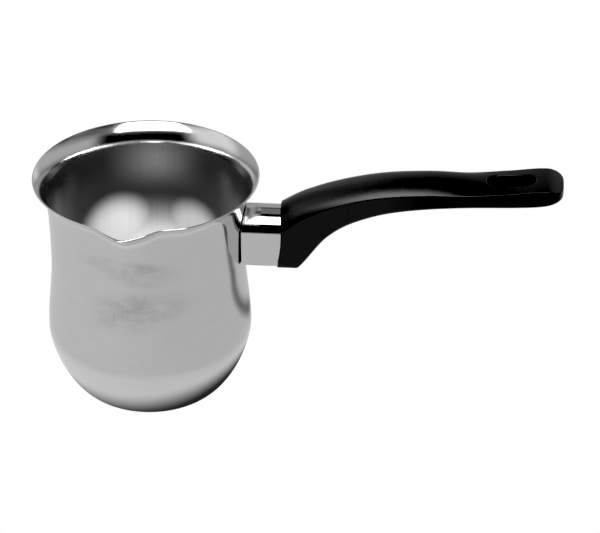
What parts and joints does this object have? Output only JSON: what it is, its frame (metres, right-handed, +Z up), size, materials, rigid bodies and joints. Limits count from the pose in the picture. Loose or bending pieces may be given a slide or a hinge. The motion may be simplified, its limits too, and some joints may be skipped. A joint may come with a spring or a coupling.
{
  "type": "coffee pot",
  "caption": "Small stainless steel coffee pot with a flared pouring rim, a D-shaped polished ferrule and a black moulded side handle with a hanging hole.",
  "frame": {"origin": "centre of the base's flat resting face, on the pot's axis", "axes": "+Z up the pot's axis, +X out along the handle, -Y towards the spout"},
  "size_m": [0.2335, 0.105, 0.1116],
  "materials": {
    "pot_steel": "satin wall with a mirror-polished flared rim",
    "ferrule_steel": "mirror-polished stainless sheet",
    "handle_plastic": "black phenolic moulding, semi-gloss with a fine grain",
    "bracket_steel": "plain stamped strip",
    "fastener_steel": "zinc-plated steel"
  },
  "bodies": {
    "root": {"pot_body": "pot_steel", "ferrule": "ferrule_steel", "handle": "handle_plastic", "handle_bracket": "bracket_steel", "bracket_nut": "fastener_steel", "handle_screw": "fastener_steel", "flat_washer": "fastener_steel", "lock_washer": "fastener_steel"}
  },
  "joints": []
}
